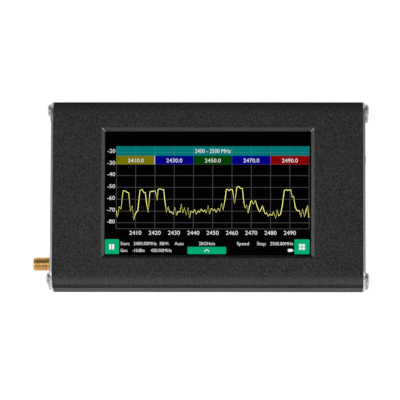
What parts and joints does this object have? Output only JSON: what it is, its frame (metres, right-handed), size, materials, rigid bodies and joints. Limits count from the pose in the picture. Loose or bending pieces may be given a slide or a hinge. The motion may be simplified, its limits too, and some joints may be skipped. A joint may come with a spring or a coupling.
{
  "type": "handheld spectrum analyzer",
  "caption": "Handheld spectrum analyser: flat extruded metal case with a recessed touch screen, end plates held by button-head screws, a threaded coaxial antenna jack and a push button.",
  "frame": {"origin": "middle of the flat back of the case, on which the part lies", "axes": "+X along the screen to its right edge, +Y to the screen's top edge, +Z out of the screen"},
  "size_m": [0.1454, 0.081, 0.027],
  "materials": {
    "case_coat": "fine textured black powder coat on extruded aluminium",
    "plate_metal": "bare sheet edges, satin",
    "screw_steel": "plated steel, satin",
    "jack_gold": "gold plated brass, turned",
    "screen_glass": "glossy black display glass",
    "sheet_metal": "plain sheet",
    "board": "green solder mask",
    "ribbon": "amber film",
    "foam": "closed-cell foam",
    "pouch_foil": "laminate foil",
    "black_plastic": "moulded",
    "white_plastic": "moulded",
    "clear_plastic": "clear rod, frosted end",
    "red_wire": "insulated lead",
    "black_wire": "insulated lead"
  },
  "bodies": {
    "analyser_case": {"front_shell": "case_coat", "rear_shell": "case_coat", "left_end_plate": "plate_metal", "right_end_plate": "plate_metal", "left_screw_top_front": "screw_steel", "left_screw_bottom_front": "screw_steel", "left_screw_top_rear": "screw_steel", "left_screw_bottom_rear": "screw_steel", "right_screw_top_front": "screw_steel", "right_screw_bottom_front": "screw_steel", "right_screw_top_rear": "screw_steel", "right_screw_bottom_rear": "screw_steel", "display_gasket": "foam", "touch_glass": "screen_glass", "display_panel": "screen_glass", "display_tray": "sheet_metal", "display_bracket": "sheet_metal", "display_ribbon": "ribbon", "ribbon_connector": "black_plastic", "spacer_left_top": "jack_gold", "spacer_left_bottom": "jack_gold", "spacer_right_top": "jack_gold", "spacer_right_bottom": "jack_gold", "bracket_screw_left_top": "screw_steel", "bracket_screw_left_bottom": "screw_steel", "bracket_screw_right_top": "screw_steel", "bracket_screw_right_bottom": "screw_steel", "board_screw_left_top": "screw_steel", "board_screw_left_bottom": "screw_steel", "board_screw_right_top": "screw_steel", "board_screw_right_bottom": "screw_steel", "main_board": "board", "antenna_jack": "jack_gold", "jack_insulator": "white_plastic", "jack_contact": "jack_gold", "usb_shell": "sheet_metal", "usb_tongue": "black_plastic", "power_switch": "black_plastic", "lamp_pipe": "clear_plastic", "charge_led": "white_plastic", "shield_fence": "sheet_metal", "shield_lid": "sheet_metal", "radio_chip": "black_plastic", "reference_crystal": "sheet_metal", "processor": "black_plastic", "memory_chip": "black_plastic", "battery_pad": "foam", "battery": "pouch_foil", "battery_socket": "white_plastic", "battery_plug": "white_plastic", "battery_lead_red": "red_wire", "battery_lead_black": "black_wire"},
    "button": {"power_button": "black_plastic", "switch_plunger": "white_plastic"}
  },
  "joints": [
    {"name": "power_press", "type": "slide", "parent": "analyser_case", "child": "button", "axis": [-1, 0, 0], "range_m": [0, 0.0005], "stiffness_N_per_m": 600, "springref_m": -0.0002}
  ]
}
